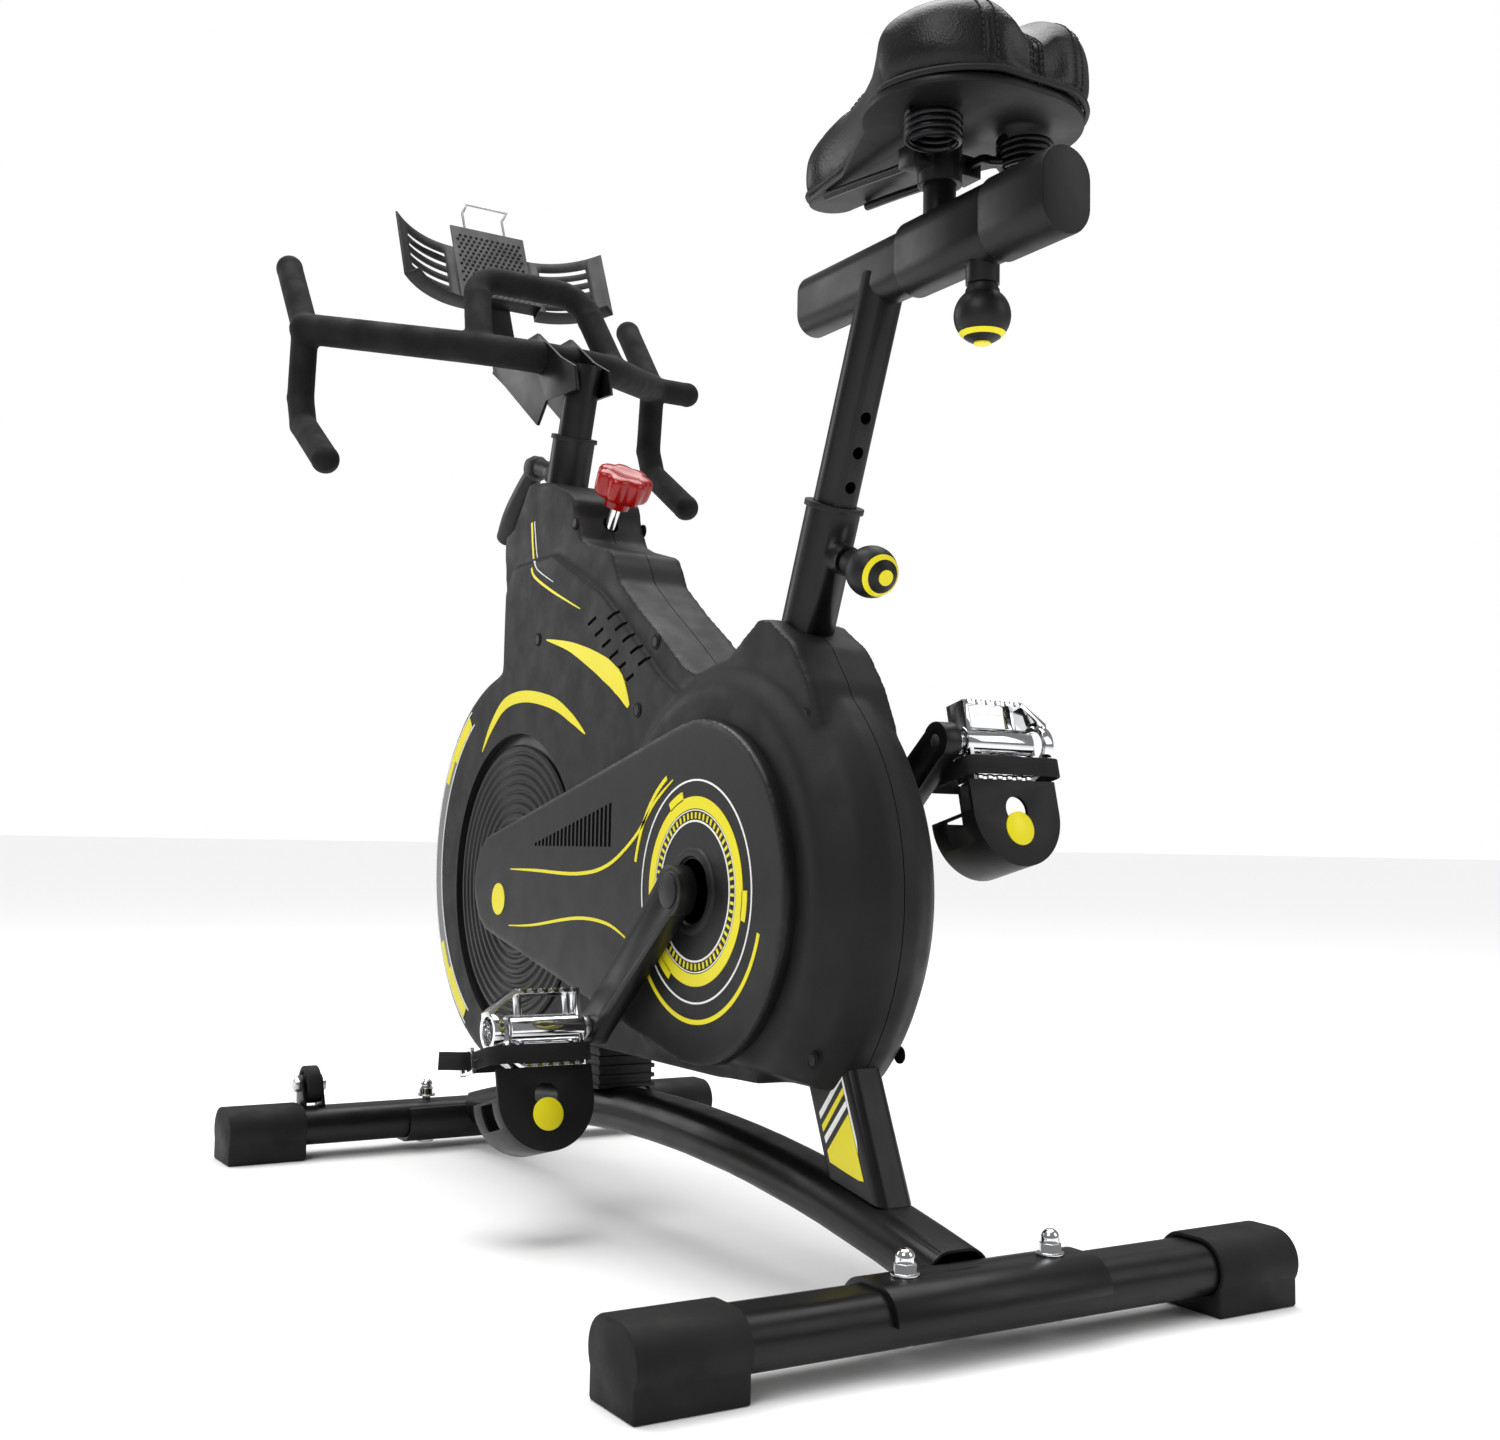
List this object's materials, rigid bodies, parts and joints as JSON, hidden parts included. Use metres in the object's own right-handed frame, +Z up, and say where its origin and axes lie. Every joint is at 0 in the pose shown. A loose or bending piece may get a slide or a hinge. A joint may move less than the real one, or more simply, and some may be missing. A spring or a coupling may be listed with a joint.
{
  "type": "indoor cycling bike",
  "caption": "Indoor cycling bike with an enclosed flywheel, adjustable sprung saddle, multi-grip handlebar with tablet holder, and caged pedals with toe clips.",
  "frame": {"origin": "centre of the footprint on the floor", "axes": "+Z up, the rider faces -Y, the rider's left is +X"},
  "size_m": [0.516, 0.9873, 0.9895],
  "materials": {
    "frame_coat": "satin",
    "shell_plastic": "matt",
    "cover_plastic": "satin",
    "rubber": "matt",
    "chrome": "polished",
    "bright_steel": "satin",
    "iron": "rough",
    "foam": "matt foam",
    "saddle_skin": "grained",
    "webbing": "woven",
    "red_plastic": "gloss",
    "knob_plastic": "satin",
    "black_plastic": "satin"
  },
  "bodies": {
    "frame": {"arch_beam": "frame_coat", "rear_leg": "frame_coat", "seat_tube": "frame_coat", "head_tube": "frame_coat", "bottom_bracket": "frame_coat", "flywheel_fork": "frame_coat", "mid_upright": "frame_coat", "upright_cover": "shell_plastic", "stabilisers": "frame_coat", "front_sleeve": "frame_coat", "feet": "rubber", "stabiliser_bolts": "chrome", "left_shell": "shell_plastic", "right_shell": "shell_plastic", "side_covers": "cover_plastic", "flywheel_covers": "cover_plastic", "shell_screws": "black_plastic", "bushings": "black_plastic", "wheel_brackets": "frame_coat", "wheel_bolts": "chrome", "bearings": "bright_steel", "drive_belt": "rubber"},
    "wheel_set_left": {"wheel_left": "rubber"},
    "wheel_set_right": {"wheel_right": "rubber"},
    "flywheel_set": {"flywheel": "iron", "flywheel_axle": "bright_steel", "flywheel_pulley": "black_plastic"},
    "crank_set": {"crank_axle": "bright_steel", "crank_pulley": "black_plastic", "cranks": "frame_coat", "crank_caps": "knob_plastic", "pedal_spindles": "bright_steel"},
    "pedal_set_left": {"pedal_left": "chrome", "toe_clip_left": "black_plastic", "strap_left": "webbing", "pedal_hardware_left": "chrome"},
    "pedal_set_right": {"pedal_right": "chrome", "toe_clip_right": "black_plastic", "strap_right": "webbing", "pedal_hardware_right": "chrome"},
    "brake_set": {"tension_rod": "chrome", "brake_shoe": "rubber"},
    "brake_knob": {"tension_knob": "red_plastic"},
    "seat_set": {"seat_post": "frame_coat", "slide_tube": "frame_coat"},
    "saddle_set": {"seat_sleeve": "frame_coat", "sleeve_cap": "black_plastic", "saddle_clamp": "black_plastic", "saddle_wires": "bright_steel", "saddle_pan": "black_plastic", "saddle_pad": "saddle_skin"},
    "seat_pin": {"seat_knob": "knob_plastic"},
    "slide_screw": {"slide_knob": "knob_plastic"},
    "bar_set": {"bar_post": "frame_coat", "handlebar": "bright_steel", "bar_grips": "foam", "tablet_holder": "black_plastic"},
    "clip_hook": {"phone_clip": "chrome"},
    "bar_pin": {"bar_lever": "knob_plastic"}
  },
  "joints": [
    {"name": "flywheel_turn", "type": "hinge", "parent": "frame", "child": "flywheel_set", "pos_m": [0, -0.22262, 0.266], "axis": [1, 0, 0], "continuous": true},
    {"name": "crank_turn", "type": "hinge", "parent": "frame", "child": "crank_set", "pos_m": [0, 0.15338, 0.271], "axis": [1, 0, 0], "continuous": true},
    {"name": "pedal_turn_left", "type": "hinge", "parent": "crank_set", "child": "pedal_set_left", "pos_m": [0.12, 0.02508, 0.15947], "axis": [1, 0, 0], "continuous": true},
    {"name": "pedal_turn_right", "type": "hinge", "parent": "crank_set", "child": "pedal_set_right", "pos_m": [-0.12, 0.28168, 0.38253], "axis": [1, 0, 0], "continuous": true},
    {"name": "seat_height", "type": "slide", "parent": "frame", "child": "seat_set", "axis": [0, 0.3584, 0.9336], "range_m": [-0.1, 0.075]},
    {"name": "saddle_slide", "type": "slide", "parent": "seat_set", "child": "saddle_set", "axis": [0, 1, 0], "range_m": [-0.027, 0.02]},
    {"name": "seat_pin_pull", "type": "slide", "parent": "frame", "child": "seat_pin", "axis": [0, 0.9336, -0.3584], "range_m": [-0.006, 0]},
    {"name": "slide_screw_turn", "type": "hinge", "parent": "saddle_set", "child": "slide_screw", "pos_m": [0, 0.41338, 0.706], "axis": [0, 0, 1], "range_deg": [-180, 180]},
    {"name": "bar_height", "type": "slide", "parent": "frame", "child": "bar_set", "axis": [0, 0.3007, 0.9537], "range_m": [0, 0.1]},
    {"name": "bar_pin_pull", "type": "slide", "parent": "frame", "child": "bar_pin", "axis": [0, -0.9537, 0.3007], "range_m": [-0.006, 0]},
    {"name": "clip_slide", "type": "slide", "parent": "bar_set", "child": "clip_hook", "axis": [0, -0.4067, 0.9135], "range_m": [-0.02, 0.02]},
    {"name": "brake_press", "type": "slide", "parent": "frame", "child": "brake_set", "axis": [0, -0.5592, -0.829], "range_m": [0, 0.003], "stiffness_N_per_m": 3000, "springref_m": -0.003},
    {"name": "tension_turn", "type": "hinge", "parent": "brake_set", "child": "brake_knob", "pos_m": [0, -0.12762, 0.574], "axis": [0, 0.5592, 0.829], "range_deg": [-360, 360]},
    {"name": "wheel_turn_left", "type": "hinge", "parent": "frame", "child": "wheel_set_left", "pos_m": [0.172, -0.39562, 0.066], "axis": [1, 0, 0], "continuous": true},
    {"name": "wheel_turn_right", "type": "hinge", "parent": "frame", "child": "wheel_set_right", "pos_m": [-0.172, -0.39562, 0.066], "axis": [1, 0, 0], "continuous": true}
  ],
  "couplings": [
    {"joint": "crank_turn", "follows": "flywheel_turn", "ratio": 0.25}
  ]
}
